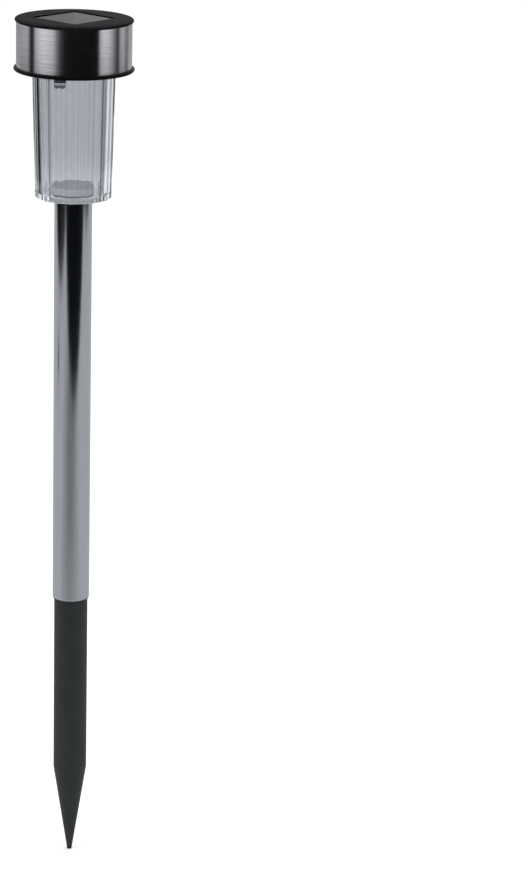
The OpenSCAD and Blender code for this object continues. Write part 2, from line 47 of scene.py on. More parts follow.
# ---------------------------------------------------------------------------------------------
# The camera stands a long arm's length in front of the light and a little above its cap. It looks
# down past the head, so that the cap's top shows and the pole narrows slightly towards the ground.
eye = Vector((0, -1.2, 0.4488))
eye_down = math.radians(17.298)
eye_right = math.radians(3.95)
eye_tilt = math.radians(1.531)
camera = bpy.data.objects.new("camera", bpy.data.cameras.new("camera"))
turned_right = Matrix.Rotation(-eye_right, 3, "Z")
looking_down = Matrix.Rotation(math.radians(90) - eye_down, 3, "X")
leaning = Matrix.Rotation(eye_tilt, 3, "Z")
camera.matrix_world = Matrix.Translation(eye) @ (turned_right @ looking_down @ leaning).to_4x4()
camera.data.sensor_width = 36
camera.data.lens = 120.36
camera.data.clip_start = 0.05
camera.data.clip_end = 60
bpy.context.collection.objects.link(camera)
bpy.context.scene.camera = camera
bpy.context.scene.view_settings.view_transform = "Standard"

# ---------------------------------------------------------------------------------------------
# The studio: a pale floor at the spike's tip, a white room, and two soft boxes overhead. What the
# polished steel mirrors is set up apart: a sheet of paper with straight edges on a dark floor, and
# a ring of light and dark screens, which only glossy reflections see.
floor_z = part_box("ground_spike")[0].z


def new_piece(name, mesh_maker):
    """A mesh object called name, whose mesh mesh_maker fills through bmesh."""
    mesh = bpy.data.meshes.new(name)
    work = bmesh.new()
    mesh_maker(work)
    bmesh.ops.recalc_face_normals(work, faces=work.faces)
    work.to_mesh(mesh)
    work.free()
    piece = bpy.data.objects.new(name, mesh)
    bpy.context.collection.objects.link(piece)
    return piece


def new_material(name):
    """A node material, its node tree and its Principled shader."""
    material = bpy.data.materials.new(name)
    material.use_nodes = True
    tree = material.node_tree
    return material, tree, tree.nodes["Principled BSDF"]


def node(tree, kind, inputs=None, **settings):
    """A shader node with its settings. An input is a value, or another node's output to link."""
    made = tree.nodes.new(kind)
    for key, value in settings.items():
        setattr(made, key, value)
    for key, value in (inputs or {}).items():
        if isinstance(value, bpy.types.NodeSocket):
            tree.links.new(value, made.inputs[key])
        else:
            made.inputs[key].default_value = value
    return made


def noise(tree, places, scale, detail, **more):
    """The grey of a noise pattern. scale is how many of its blotches fit in one unit of places."""
    settings = {"Vector": places, "Scale": scale, "Detail": detail, **more}
    return node(tree, "ShaderNodeTexNoise", settings).outputs["Fac"]


def maths(tree, operation, *values):
    """The result of a sum on values, which are numbers or other nodes' outputs."""
    return node(tree, "ShaderNodeMath", dict(enumerate(values)), operation=operation).outputs[0]


def stretched(tree, value, low, high, to_low=0.0, to_high=1.0):
    """value, with low to high stretched to run from to_low to to_high, and held there outside them."""
    limits = {"Value": value, "From Min": low, "From Max": high, "To Min": to_low, "To Max": to_high}
    return node(tree, "ShaderNodeMapRange", limits).outputs[0]


def two_tones(tree, factor, low, high):
    """A colour from low to high. Each is a colour or another node's output."""
    a, b = [tone if isinstance(tone, bpy.types.NodeSocket) else (*tone, 1) for tone in (low, high)]
    mix = node(tree, "ShaderNodeMix", {"Factor": factor, "A": a, "B": b}, data_type="RGBA")
    return mix.outputs["Result"]


def dress(tree, shader, colour=None, roughness=None, height=None, depth=0.0, strength=1.0):
    """Links a shader to the patterns of its colour, roughness and bumps, which are depth metres deep."""
    if colour is not None:
        tree.links.new(colour, shader.inputs["Base Color"])
    if roughness is not None:
        tree.links.new(roughness, shader.inputs["Roughness"])
    if height is not None:
        bump = node(tree, "ShaderNodeBump", {"Height": height, "Distance": depth, "Strength": strength})
        tree.links.new(bump.outputs[0], shader.inputs["Normal"])


def flat_sheet(name, corners, z):
    """A flat sheet through corners, a list of (x, y)."""
    return new_piece(name, lambda work: work.faces.new([work.verts.new((x, y, z)) for x, y in corners]))


def square(half):
    """The corners of a square round the pole."""
    return [(-half, -half), (half, -half), (half, half), (-half, half)]


def glow_material(name, colour=(0, 0, 0)):
    """A surface that only glows. Comes with its node tree and shader, for a glow that varies."""
    material, tree, shader = new_material(name)
    shader.inputs["Base Color"].default_value = (0, 0, 0, 1)
    shader.inputs["Specular IOR Level"].default_value = 0
    shader.inputs["Emission Color"].default_value = (*colour, 1)
    shader.inputs["Emission Strength"].default_value = 1
    return material, tree, shader


def seen_in_gloss_only(piece):
    """The piece shows in reflections, and is not there for the camera, for shadows or for soft light."""
    piece.visible_camera = False
    piece.visible_diffuse = False
    piece.visible_transmission = False
    piece.visible_shadow = False
    piece.visible_volume_scatter = False


# The floor.
floor_half = 30
under_tip = 0.05 * mm
floor = flat_sheet("floor", square(floor_half), floor_z - under_tip)
floor.visible_glossy = False
pale_floor, tree, shader = new_material("pale_floor")
places = node(tree, "ShaderNodeTexCoord").outputs["Object"]
mottle = noise(tree, places, 6.0, 3.0)
dress(tree, shader, two_tones(tree, mottle, (0.9, 0.905, 0.915), (0.92, 0.922, 0.925)))
shader.inputs["Roughness"].default_value = 0.9
shader.inputs["Specular IOR Level"].default_value = 0.1
floor.data.materials.append(pale_floor)

# The white room.
room = bpy.data.worlds.new("room")
room.use_nodes = True
room.node_tree.nodes["Background"].inputs["Color"].default_value = (0.985, 0.99, 1, 1)
room.node_tree.nodes["Background"].inputs["Strength"].default_value = 1.12
bpy.context.scene.world = room

# The lamps.
lamps_face = Vector((0, 0, 0.2))


def soft_box(name, place, size, power):
    """A square lamp at place that faces the head of the light."""
    lamp = bpy.data.objects.new(name, bpy.data.lights.new(name, "AREA"))
    lamp.data.shape = "SQUARE"
    lamp.data.size = size
    lamp.data.energy = power
    lamp.location = place
    lamp.rotation_euler = (lamps_face - lamp.location).to_track_quat("-Z", "Y").to_euler()
    lamp.visible_glossy = False
    bpy.context.collection.objects.link(lamp)


soft_box("left_box", Vector((-1.3, -0.8, 1.5)), 1.0, 9)
soft_box("right_box", Vector((1.4, 0.3, 1.6)), 1.0, 7)


def bearing(degrees, distance):
    """The (x, y) at a distance from the pole. 0 degrees is towards the camera, and 90 to the right."""
    angle = math.radians(degrees)
    return Vector((math.sin(angle) * distance, -math.cos(angle) * distance))


def crossing(edge_a, edge_b):
    """Where two straight edges meet. Each is (bearing of its normal, distance from the pole)."""
    a, b = bearing(edge_a[0], 1), bearing(edge_b[0], 1)
    spread = a.x * b.y - a.y * b.x
    return ((edge_a[1] * b.y - edge_b[1] * a.y) / spread, (a.x * edge_b[1] - b.x * edge_a[1]) / spread)


# The sheet of paper that the steel mirrors, with a darker pool in front of the pole. Each edge is
# (bearing of its normal, distance from the pole).
front_edge = (10, 0.715)
right_edge = (88, 1.25)
left_edge = (-80, 1.03)
back_edge = (180, 4.0)
paper_corners = [crossing(front_edge, right_edge), crossing(right_edge, back_edge),
                 crossing(back_edge, left_edge), crossing(left_edge, front_edge)]
paper = flat_sheet("mirrored_paper", paper_corners, floor_z + 1 * mm)
paper_glow, tree, shader = glow_material("paper_glow")
pool_place = (-0.1, -0.62, floor_z)
pool_r = 0.16
pool_edge = 0.6
paper_place = node(tree, "ShaderNodeTexCoord").outputs["Object"]
from_pool = node(tree, "ShaderNodeVectorMath", {0: paper_place, 1: pool_place}, operation="DISTANCE")
fall = stretched(tree, from_pool.outputs["Value"], pool_r, pool_edge)
paper_shade = two_tones(tree, fall, (0.27, 0.28, 0.29), (0.56, 0.575, 0.6))
tree.links.new(paper_shade, shader.inputs["Emission Color"])
paper.data.materials.append(paper_glow)
seen_in_gloss_only(paper)

# A dark strip on the paper, and the dark floor under it.
patch_corners = [bearing(-101, 0.78), bearing(-101, 0.86), bearing(-87, 0.87), bearing(-87, 0.78)]
dark_patch = flat_sheet("mirrored_patch", patch_corners, floor_z + 2 * mm)
dark_patch.data.materials.append(glow_material("patch_glow", (0.08, 0.085, 0.09))[0])
seen_in_gloss_only(dark_patch)
dark_half = 9
dark_ground = flat_sheet("mirrored_dark", square(dark_half), floor_z)
dark_ground.data.materials.append(glow_material("dark_glow", (0.004, 0.005, 0.0055))[0])
seen_in_gloss_only(dark_ground)

# The screens: each row is a bearing and how bright the ring of screens is there.
SCREENS = [
    (-180, 0.42), (-150, 0.37), (-132, 0.42), (-119, 0.52), (-107, 0.58), (-101, 0.42), (-96, 0.05),
    (-91, 0.01), (-87, 0.04), (-82, 0.58), (-75, 0.83), (-67, 1.02), (-60, 1.06), (-53, 0.98),
    (-47, 0.88), (-41, 0.76), (-34.5, 0.31), (-28, 0.10), (-22, 0.035), (-16, 0.012), (48, 0.005),
    (53, 0.72), (57, 0.87), (63, 0.93), (70, 0.84), (78, 0.58), (86, 0.27), (93, 0.07), (97, 0.09),
    (103, 0.48), (112, 0.6), (121, 0.34), (126, 0.2), (133, 0.35), (140, 0.45), (180, 0.5)]
screen_distance = 1.0
screen_foot = 50 * mm
screen_top = 900 * mm


def screen_glow(degrees):
    """Brightness of the ring of screens at a bearing."""
    for (a, low), (b, high) in zip(SCREENS, SCREENS[1:]):
        if a <= degrees <= b:
            return low + (high - low) * (degrees - a) / (b - a)


def make_screens(work):
    glow = work.verts.layers.float_color.new("glow")
    columns = []
    for degrees in range(-180, 181):
        side = bearing(degrees, screen_distance)
        column = [work.verts.new((side.x, side.y, z)) for z in (screen_foot, screen_top)]
        bright = screen_glow(degrees)
        for vert in column:
            vert[glow] = (bright, bright, bright, 1)
        columns.append(column)
    for left, right in zip(columns, columns[1:]):
        work.faces.new((left[0], right[0], right[1], left[1]))


screens = new_piece("mirrored_screens", make_screens)
screen_light, tree, shader = glow_material("screen_light")
screen_shade = node(tree, "ShaderNodeVertexColor", layer_name="glow").outputs["Color"]
tree.links.new(screen_shade, shader.inputs["Emission Color"])
screens.data.materials.append(screen_light)
seen_in_gloss_only(screens)

# ---------------------------------------------------------------------------------------------
# The ground spike is moulded in dark plastic: a hollow shaft with a blunt point, and a ribbed plug
# that presses into the tube above a thin stop collar. Two parting lines run down its sides.
spike_low, spike_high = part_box("ground_spike")
shaft_r = 7.275 * mm
shaft_l = 80.1 * mm
shaft_middle = -40 * mm
collar_r = 7.8 * mm
collar_t = 0.6 * mm
plug_core_r = 6.62 * mm
plug_rib_r = 7.52 * mm
rib_start = 3 * mm
rib_stop = 26.6 * mm
rib_count = 6
rib_half_angle = 6.2
facet_slack = 0.1 * mm
spike_bore_r = 5.275 * mm
tip_r = 1 * mm


def filleted(outline, steps=4):
    """An open outline of (radius, height, fillet) points, with each corner rounded by its fillet."""
    points = []
    last = len(outline) - 1
    for i, (r, z, fillet) in enumerate(outline):
        here = Vector((r, z))
        if not fillet or i in (0, last):
            points.append(here)
            continue
        back = Vector(outline[i - 1][:2]) - here
        ahead = Vector(outline[i + 1][:2]) - here
        half = back.angle(ahead) / 2
        longest = 0.49 * min(back.length, ahead.length)
        cut = min(fillet / math.tan(half), longest)
        start = here + back.normalized() * cut
        end = here + ahead.normalized() * cut
        for k in range(steps + 1):
            t = k / steps
            points.append(start * (1 - t) ** 2 + here * 2 * t * (1 - t) + end * t ** 2)
    return points


def on_circle(r, z, angle):
    """The point at a radius, a height and a bearing in radians."""
    return (r * math.sin(angle), -r * math.cos(angle), z)


def turn(work, outline, steps, place=on_circle):
    """Turns an outline about an axis in steps, which are angles or whatever place counts by. place gives
    the point for a radius, a height and a step. A point on the axis becomes one vertex, and an outline
    that doesn't start on the axis is closed on itself."""
    rings = []
    for r, z in outline:
        if r == 0:
            rings.append([work.verts.new(place(0, z, steps[0]))] * len(steps))
        else:
            rings.append([work.verts.new(place(r, z, step)) for step in steps])
    pairs = list(zip(rings, rings[1:]))
    if outline[0][0] != 0:
        pairs.append((rings[-1], rings[0]))
    for low, high in pairs:
        for i in range(len(steps)):
            j = (i + 1) % len(steps)
            corners = []
            for vert in (low[i], low[j], high[j], high[i]):
                if vert not in corners:
                    corners.append(vert)
            work.faces.new(corners)


def even_angles(count, first=0.0):
    """A full turn in count even steps, in radians."""
    return [first + 2 * math.pi * i / count for i in range(count)]


def raise_patch(work, faces, height):
    """Pushes a patch of faces out from the axis by height, with walls round it."""
    made = bmesh.ops.extrude_face_region(work, geom=faces)
    for vert in made["geom"]:
        if isinstance(vert, bmesh.types.BMVert):
            out = Vector((vert.co.x, vert.co.y, 0)).normalized()
            vert.co += out * height


def bearing_of(point):
    """The bearing of a point, in degrees from the camera's side."""
    return math.degrees(math.atan2(point.x, -point.y))


def angle_between(degrees, other):
    """How far apart two bearings are, in degrees."""
    return abs((degrees - other + 180) % 360 - 180)


def outer_patch(work, low, high, least_r, degrees, within):
    """The faces between two heights, outside least_r and within some degrees of a bearing. A face's middle
    lies inside the circle that it stands on, so least_r allows for facet_slack or more."""
    patch = []
    for face in work.faces:
        middle = face.calc_center_median()
        outside = low < middle.z < high and middle.xy.length > least_r
        if outside and angle_between(bearing_of(middle), degrees) < within:
            patch.append(face)
    return patch


def smooth(piece, degrees=32):
    """Rounds the shading, except over edges sharper than degrees. Large faces keep their own normals."""
    for face in piece.data.polygons:
        face.use_smooth = True
    piece.data.set_sharp_from_angle(angle=math.radians(degrees))
    flat_first = piece.modifiers.new("flat_faces_first", "WEIGHTED_NORMAL")
    flat_first.weight = 100
    flat_first.keep_sharp = True


parting_bearing = 38
parting_w = 0.5 * mm
parting_h = 0.06 * mm


def spike_point(r, z, angle):
    """The shaft's surface, with a low rounded parting line down each side."""
    if z < 0 and r > tip_r and r != spike_bore_r:
        for side in (parting_bearing, parting_bearing + 180):
            across = math.radians(angle_between(math.degrees(angle), side)) * r / parting_w
            if across < 1:
                r += parting_h * (1 - across * across) ** 2
    return on_circle(r, z, angle)


def make_spike(work):
    outline = filleted([
        (0, spike_low.z, 0), (tip_r, spike_low.z, 0.8 * mm), (shaft_r, -shaft_l, 1.2 * mm),
        (shaft_r, shaft_middle, 0), (shaft_r, 0, 0),
        (collar_r, 0, 0.15 * mm), (collar_r, collar_t, 0.15 * mm),
        (plug_core_r, collar_t, 0), (plug_core_r, rib_start, 0), (plug_core_r, rib_stop, 0),
        (plug_core_r, spike_high.z, 0.4 * mm), (spike_bore_r, spike_high.z, 0.3 * mm),
        (spike_bore_r, -shaft_l, 0), (0, -shaft_l, 0)])
    columns = 288
    turn(work, outline, even_angles(columns, math.pi / columns), spike_point)
    for k in range(rib_count):
        middle = k * 360 / rib_count
        rib = outer_patch(work, rib_start, rib_stop, plug_core_r - facet_slack, middle, rib_half_angle)
        raise_patch(work, rib, plug_rib_r - plug_core_r)


def surface_places(tree):
    """Where a point is on the object, in metres: its place, and the x, y and z of that."""
    places = node(tree, "ShaderNodeTexCoord").outputs["Object"]
    split = node(tree, "ShaderNodeSeparateXYZ", {"Vector": places}).outputs
    return places, split["X"], split["Y"], split["Z"]


def grained(name, colour, lighter, roughness, grain=0.35 * mm, depth=12e-6, specular=0.5):
    """Moulded plastic: a fine spark-eroded grain, a faint cloudiness, and a roughness that wanders. grain
    and depth are the size of the grain and how deep it is."""
    material, tree, shader = new_material(name)
    places = surface_places(tree)[0]
    cloud_size = 9 * mm
    clouds = noise(tree, places, 1 / cloud_size, 5.0, Roughness=0.6)
    fine = noise(tree, places, 1 / grain, 3.0, Roughness=0.65)
    mottle = stretched(tree, maths(tree, "MULTIPLY", clouds, fine), 0.12, 0.42)
    rough = stretched(tree, clouds, 0.3, 0.7, roughness - 0.05, roughness + 0.06)
    dress(tree, shader, two_tones(tree, mottle, colour, lighter), rough, fine, depth)
    shader.inputs["Specular IOR Level"].default_value = specular
    return material


spike = new_piece("spike_moulding", make_spike)
smooth(spike)
spike_grain = grained("spike_plastic_grain", (0.0075, 0.0098, 0.0108), (0.0145, 0.018, 0.0195), 0.5,
                      specular=0.4)
spike.data.materials.append(spike_grain)
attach(spike, "spike")
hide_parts("ground_spike")

# ---------------------------------------------------------------------------------------------
# The pole is a thin-walled stainless tube, cut square, deburred at both ends and polished
# lengthwise. Fine draw lines run along it.
tube_low, tube_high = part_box("pole_tube")
tube_r = (tube_high.x - tube_low.x) / 2
tube_wall = 0.4 * mm
burr = 0.13 * mm


def make_tube(work):
    """The outline starts and ends on the outside, so that all four corners can be rounded."""
    bore = tube_r - tube_wall
    outline = filleted([
        (tube_r, tube_low.z + 90 * mm, 0), (tube_r, tube_high.z, burr), (bore, tube_high.z, burr),
        (bore, tube_low.z, burr), (tube_r, tube_low.z, burr), (tube_r, tube_low.z + 1 * mm, 0)])
    turn(work, outline, even_angles(192))


def steel(name, colour, line_dark, roughness, spread, lines_run, radius, spacing, stretch, depth):
    """Stainless steel with brushed lines, "down" a tube or "round" a band of a radius. The lines are
    spacing apart, run stretch times as far and are depth deep. line_dark is how much of its brightness
    the steel keeps in a line, and spread is how far its roughness wanders."""
    material, tree, shader = new_material(name)
    places, x, y, z = surface_places(tree)
    round_way = maths(tree, "MULTIPLY", maths(tree, "ARCTAN2", x, y), radius)
    across, along = 1 / spacing, 1 / (spacing * stretch)
    scales = (across, along) if lines_run == "down" else (along, across)
    flat = node(tree, "ShaderNodeCombineXYZ", {"X": maths(tree, "MULTIPLY", round_way, scales[0]),
                                               "Y": maths(tree, "MULTIPLY", z, scales[1])}).outputs[0]
    lines = noise(tree, flat, 1.0, 4.0, Roughness=0.7)
    stains = noise(tree, places, 70.0, 3.0)
    dull = stretched(tree, lines, 0.3, 0.7, roughness - spread / 2, roughness + spread / 2)
    worn = maths(tree, "MULTIPLY_ADD", stains, 0.04, dull)
    darker = tuple(c * line_dark for c in colour)
    shade = two_tones(tree, stretched(tree, lines, 0.34, 0.66), darker, colour)
    dress(tree, shader, shade, worn, lines, depth)
    shader.inputs["Metallic"].default_value = 1
    return material


tube = new_piece("pole_tube_polished", make_tube)
smooth(tube)
tube.data.materials.append(steel("pole_steel_drawn", (0.585, 0.595, 0.613), 0.91, 0.085, 0.05,
                                 "down", tube_r, 0.5 * mm, 60, 4e-6))
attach(tube, "pole")
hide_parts("pole_tube")

# ---------------------------------------------------------------------------------------------
# The lens is one moulding in clear styrene: a leaning cup with round flutes outside, a socket in
# its floor for the tube, a spigot that goes down the tube, and three bayonet lugs at its rim.
lens_low, lens_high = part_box("lens")
spigot_l = 15 * mm
lens_z = lens_low.z + spigot_l
rim_z = lens_high.z
lens_h = rim_z - lens_z
lens_foot_r = 16.2 * mm
lens_rim_r = 17.575 * mm
lens_wall = 1.7 * mm
lens_floor = 2 * mm
flutes = 18
flute_depth = 0.5 * mm
land_w = 0.3 * mm
first_ridge = -2
flute_top = 53 * mm
flute_fade = 0.4 * mm
socket_r = 8.08 * mm
socket_depth = 3.5 * mm
boss_r = 9.58 * mm
boss_h = 5 * mm
spigot_r = 7.52 * mm
spigot_bore = 6.02 * mm
lug_count = 3
first_lug = 90
lug_half_angle = 12
lug_low = 55.2 * mm
lug_high = 56.6 * mm
lug_out = 1.2 * mm
groove_half = lens_foot_r * math.sin(math.pi / flutes) - land_w / 2
groove_sag = flute_depth - (lens_foot_r - math.sqrt(lens_foot_r ** 2 - groove_half ** 2))
groove_r = (groove_half ** 2 + groove_sag ** 2) / (2 * groove_sag)
steps_in_flute = 12
columns = flutes * steps_in_flute

# How clear the moulding is, column by column: a little uneven at random, and darker in some streaks, which
# are painted shade for the dark surroundings seen through the flutes.
# A streak is (bearing, half its width, how dark), with both angles in degrees. One below 0 is lighter, a
# painted light streak.
luck = random.Random(7)
streak_luck = [luck.choice((0.86, 0.93, 1.0, 1.0, 1.03, 1.08)) for _ in range(columns)]
PAINTED_REFRACTION_STREAKS = [
    (-68, 5.5, 0.995), (-37.5, 2.4, 0.8), (45, 3.4, 0.985), (30, 1.5, 0.3), (22, 1.2, 0.25),
    (-57, 1.6, 0.25), (51.5, 3.4, 0.65), (67, 4, -0.5)]

# The outer wall is painted lighter by this share up to foot_h, and less so up to twice that: painted light
# on its lower part.
foot_painted_light = 0.3
foot_h = 7 * mm

# The bottom of one flute carries a thin opaque dark line of painted shade, from a little above the foot.
painted_line_bearing = -72
painted_line_half_angle = 1.7
painted_line_from = 2 * mm
painted_line_r = lens_foot_r - 2 * flute_depth

# Which of the lens's three materials a face has, the third being the painted shade line. The others have
# the first one, the clear one.
frosted_slot = 1
painted_line_slot = 2


def wall_r(height):
    """Radius of the lens's leaning wall, over the lands, at a height above its foot."""
    return lens_foot_r + (lens_rim_r - lens_foot_r) * height / lens_h


def on_outside(r, height):
    """Whether a point at a radius and a height belongs to the wall's outer face."""
    return r > wall_r(height) - 0.6 * lens_wall


def flute_r(r, off):
    """Radius of the groove at an angle off its middle, on a wall of radius r."""
    centre = r + groove_r - flute_depth
    under = groove_r ** 2 - (centre * math.sin(off)) ** 2
    return min(r, centre * math.cos(off) - math.sqrt(under)) if under > 0 else r


def groove_edge(r):
    """Angle from a groove's middle to the edge of the land, on a wall of radius r."""
    centre = r + groove_r - flute_depth
    cosine = (centre ** 2 + r ** 2 - groove_r ** 2) / (2 * centre * r)
    return math.acos(min(1, cosine))


def column_place(column, r):
    """The middle of a column's flute, and the column's angle off it, on a wall of radius r. The last
    step of each flute crosses the land."""
    flute, step = divmod(column, steps_in_flute)
    middle = math.radians(first_ridge) + (flute + 0.5) * 2 * math.pi / flutes
    return middle, groove_edge(r) * (2 * step / (steps_in_flute - 1) - 1)


def lens_point(r, z, column):
    """The point at a radius and a height on one column, with the flutes cut into the outer face."""
    height = z - lens_z
    middle, off = column_place(column, wall_r(min(max(height, 0), flute_top)))
    if on_outside(r, height) and height < flute_top + flute_fade:
        fade = min(1, max(0, (flute_top + flute_fade - height) / (2 * flute_fade)))
        r -= (wall_r(height) - flute_r(wall_r(height), off)) * fade
    return on_circle(r, z, middle + off)


column_bearings = [math.degrees(sum(column_place(column, lens_foot_r))) for column in range(columns)]


def streak_with_painted_light(column):
    """How clear the moulding is down one column, with the painted shade and painted light of its streaks.
    """
    clear = streak_luck[column]
    for middle, half_width, dark in PAINTED_REFRACTION_STREAKS:
        away = angle_between(column_bearings[column], middle) / half_width
        if away < 1:
            clear *= 1 - dark * (1 - away * away)
    return clear


def clearness_with_painted_light(point):
    """How clear the moulding is at a point, with the painted streaks and the painted lighter foot."""
    height = point.z - lens_z
    if not on_outside(point.xy.length, height):
        return 1.0
    column = min(range(columns), key=lambda k: angle_between(column_bearings[k], bearing_of(point)))
    # Painted light: the outer wall is lighter towards its foot.
    foot = min(1, max(0, 2 - height / foot_h)) if height >= 0 else 0
    return streak_with_painted_light(column) * (1 + foot_painted_light * foot)


def make_lens(work):
    z = lens_z
    inner_foot = lens_foot_r - lens_wall
    inner_rim = lens_rim_r - lens_wall
    outline = [
        (0, z + boss_h, 0), (boss_r, z + boss_h, 0.5 * mm), (boss_r, z + lens_floor, 0.4 * mm),
        (inner_foot, z + lens_floor, 0.9 * mm), (inner_foot + 0.02 * mm, z + 6 * mm, 0),
        (inner_rim, rim_z, 0.2 * mm), (lens_rim_r, rim_z, 0.25 * mm),
        (wall_r(lug_high), z + lug_high, 0), (wall_r(lug_low), z + lug_low, 0),
        (wall_r(flute_top + flute_fade), z + flute_top + flute_fade, 0),
        (wall_r(flute_top), z + flute_top, 0),
        (wall_r(flute_top - flute_fade), z + flute_top - flute_fade, 0)]
    wall_rows = [45 * mm, 35 * mm, 25 * mm, 15 * mm, 7 * mm, 2 * mm]
    outline += [(wall_r(height), z + height, 0) for height in wall_rows]
    outline += [
        (lens_foot_r, z, 0.35 * mm), (socket_r, z, 0.25 * mm), (socket_r, z + socket_depth, 0.1 * mm),
        (spigot_r, z + socket_depth, 0.1 * mm), (spigot_r, lens_low.z, 0.4 * mm),
        (spigot_bore, lens_low.z, 0.2 * mm), (spigot_bore, z + socket_depth, 0.3 * mm),
        (0, z + socket_depth, 0)]
    turn(work, filleted(outline), range(columns), lens_point)
    # The layer holds the moulding's uneven tint times the painted shade and painted light of the streaks
    # and the foot.
    clear = work.verts.layers.float_color.new("clear")
    for vert in work.verts:
        grey = clearness_with_painted_light(vert.co)
        vert[clear] = (grey, grey, grey, 1)
    for face in work.faces:
        middle = face.calc_center_median()
        if middle.z > z and middle.xy.length < boss_r + facet_slack:
            face.material_index = frosted_slot
    # The faces of the painted shade line get the opaque dark material.
    for face in outer_patch(work, z + painted_line_from, math.inf, painted_line_r, painted_line_bearing, painted_line_half_angle):
        face.material_index = painted_line_slot
    for k in range(lug_count):
        middle = first_lug + k * 360 / lug_count
        least_r = wall_r(lug_low) - facet_slack
        lug = outer_patch(work, z + lug_low, z + lug_high, least_r, middle, lug_half_angle)
        raise_patch(work, lug, lug_out)


lens = new_piece("fluted_lens", make_lens)
smooth(lens, 28)
clear_styrene, tree, shader = new_material("clear_styrene")
places, x, y, z = surface_places(tree)
streak_place = node(tree, "ShaderNodeCombineXYZ", {"X": maths(tree, "ARCTAN2", x, y), "Y": z})
flow = noise(tree, streak_place.outputs[0], 14.0, 4.0)
smoke = two_tones(tree, flow, (0.57, 0.585, 0.61), (0.63, 0.645, 0.67))
# The vertex colour is the uneven tint with painted shade and painted light in it.
tint_with_painted_light = node(tree, "ShaderNodeVertexColor", layer_name="clear").outputs["Color"]
streaked_with_painted_light = node(tree, "ShaderNodeMix", {"Factor": 1.0, "A": smoke, "B": tint_with_painted_light},
                data_type="RGBA", blend_type="MULTIPLY")
dress(tree, shader, streaked_with_painted_light.outputs["Result"], height=flow, depth=20e-6)
shader.inputs["Transmission Weight"].default_value = 1
shader.inputs["IOR"].default_value = 1.38
shader.inputs["Roughness"].default_value = 0.03
lens.data.materials.append(clear_styrene)

# The boss and its socket are frosted, so that the end of the tube doesn't show through them.
frosted_styrene, tree, shader = new_material("frosted_styrene")
haze = noise(tree, surface_places(tree)[0], 500.0, 3.0)
milky = two_tones(tree, haze, (0.92, 0.925, 0.935), (0.975, 0.98, 0.985))
dress(tree, shader, milky, stretched(tree, haze, 0.0, 1.0, 0.4, 0.55))
shader.inputs["Transmission Weight"].default_value = 0.05
shader.inputs["IOR"].default_value = 1.45
lens.data.materials.append(frosted_styrene)

# The dark line is painted shade: opaque dark plastic that stands in for the dark surroundings seen through
# the flute.
painted_shade_styrene, tree, shader = new_material("painted_shade_styrene")
painted_line_mottle = noise(tree, surface_places(tree)[0], 160.0, 4.0)
painted_line_shade = two_tones(tree, painted_line_mottle, (0.03, 0.04, 0.04), (0.09, 0.105, 0.105))
dress(tree, shader, painted_line_shade, stretched(tree, painted_line_mottle, 0.0, 1.0, 0.3, 0.45))
shader.inputs["Specular IOR Level"].default_value = 0.05
lens.data.materials.append(painted_shade_styrene)
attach(lens, "lens")
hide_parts("lens")

# ---------------------------------------------------------------------------------------------
# The seal is a flat ring of black rubber, moulded with soft edges. It lies on the lens's rim and
# keeps the rain out of the head.
seal_low, seal_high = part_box("lens_seal")
seal_r = (seal_high.x - seal_low.x) / 2
seal_in = 16.025 * mm


def make_seal(work):
    soft = 0.25 * mm
    outline = filleted([
        (seal_r, (seal_low.z + seal_high.z) / 2, 0), (seal_r, seal_high.z, soft),
        (seal_in, seal_high.z, soft), (seal_in, seal_low.z, soft), (seal_r, seal_low.z, soft),
        (seal_r, seal_low.z + 0.3 * mm, 0)])
    turn(work, outline, even_angles(144))


seal = new_piece("rubber_seal", make_seal)
smooth(seal, 50)
seal_skin = grained("seal_rubber_skin", (0.012, 0.012, 0.012), (0.022, 0.021, 0.02), 0.62, specular=0.3)
seal.data.materials.append(seal_skin)
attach(seal, "seal")
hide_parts("lens_seal")


def finish_node(name, material):
    """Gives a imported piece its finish."""
    nodes[name].data.materials[0] = material


head_black = grained("head_black_plastic", (0.0006, 0.0008, 0.001), (0.0016, 0.0019, 0.0022), 0.26,
                     specular=0.05)
finish_node("head_base", head_black)

# ---------------------------------------------------------------------------------------------
# The ring is a strip of stainless steel, rolled and welded into a band and brushed round its outside.
# It slips over the shell of the base, and the cap holds it there.
ring_low, ring_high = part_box("steel_ring")
ring_r = (ring_high.x - ring_low.x) / 2
ring_wall = 0.4 * mm


def make_ring(work):
    inside = ring_r - ring_wall
    soft = 0.12 * mm
    outline = filleted([
        (ring_r, ring_low.z + 9 * mm, 0), (ring_r, ring_high.z, soft), (inside, ring_high.z, soft),
        (inside, ring_low.z, soft), (ring_r, ring_low.z, soft), (ring_r, ring_low.z + 1 * mm, 0)])
    turn(work, outline, even_angles(240))


ring = new_piece("brushed_ring", make_ring)
smooth(ring)
ring.data.materials.append(steel("ring_steel_brushed", (0.7, 0.715, 0.745), 0.66, 0.11, 0.08,
                                 "round", ring_r, 0.32 * mm, 60, 7e-6))
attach(ring, "head")
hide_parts("steel_ring")

# ---------------------------------------------------------------------------------------------
# The cap is a black moulding with a fine grain, which closes the head from above. It carries the
# solar panel in a square recess.
cap_black = grained("cap_black_plastic", (0.0004, 0.0006, 0.0008), (0.009, 0.0105, 0.0115), 0.4,
                    grain=0.6 * mm, depth=30e-6, specular=0.022)
finish_node("top_cap", cap_black)

# ---------------------------------------------------------------------------------------------
# The solar panel is a grey silicon cell on a black backing, potted under clear resin. Thin silver
# fingers cross the cell, and two busbars gather them.
finish_node("panel_backing", grained("panel_back_black", (0.006, 0.006, 0.007), (0.01, 0.01, 0.011), 0.5))


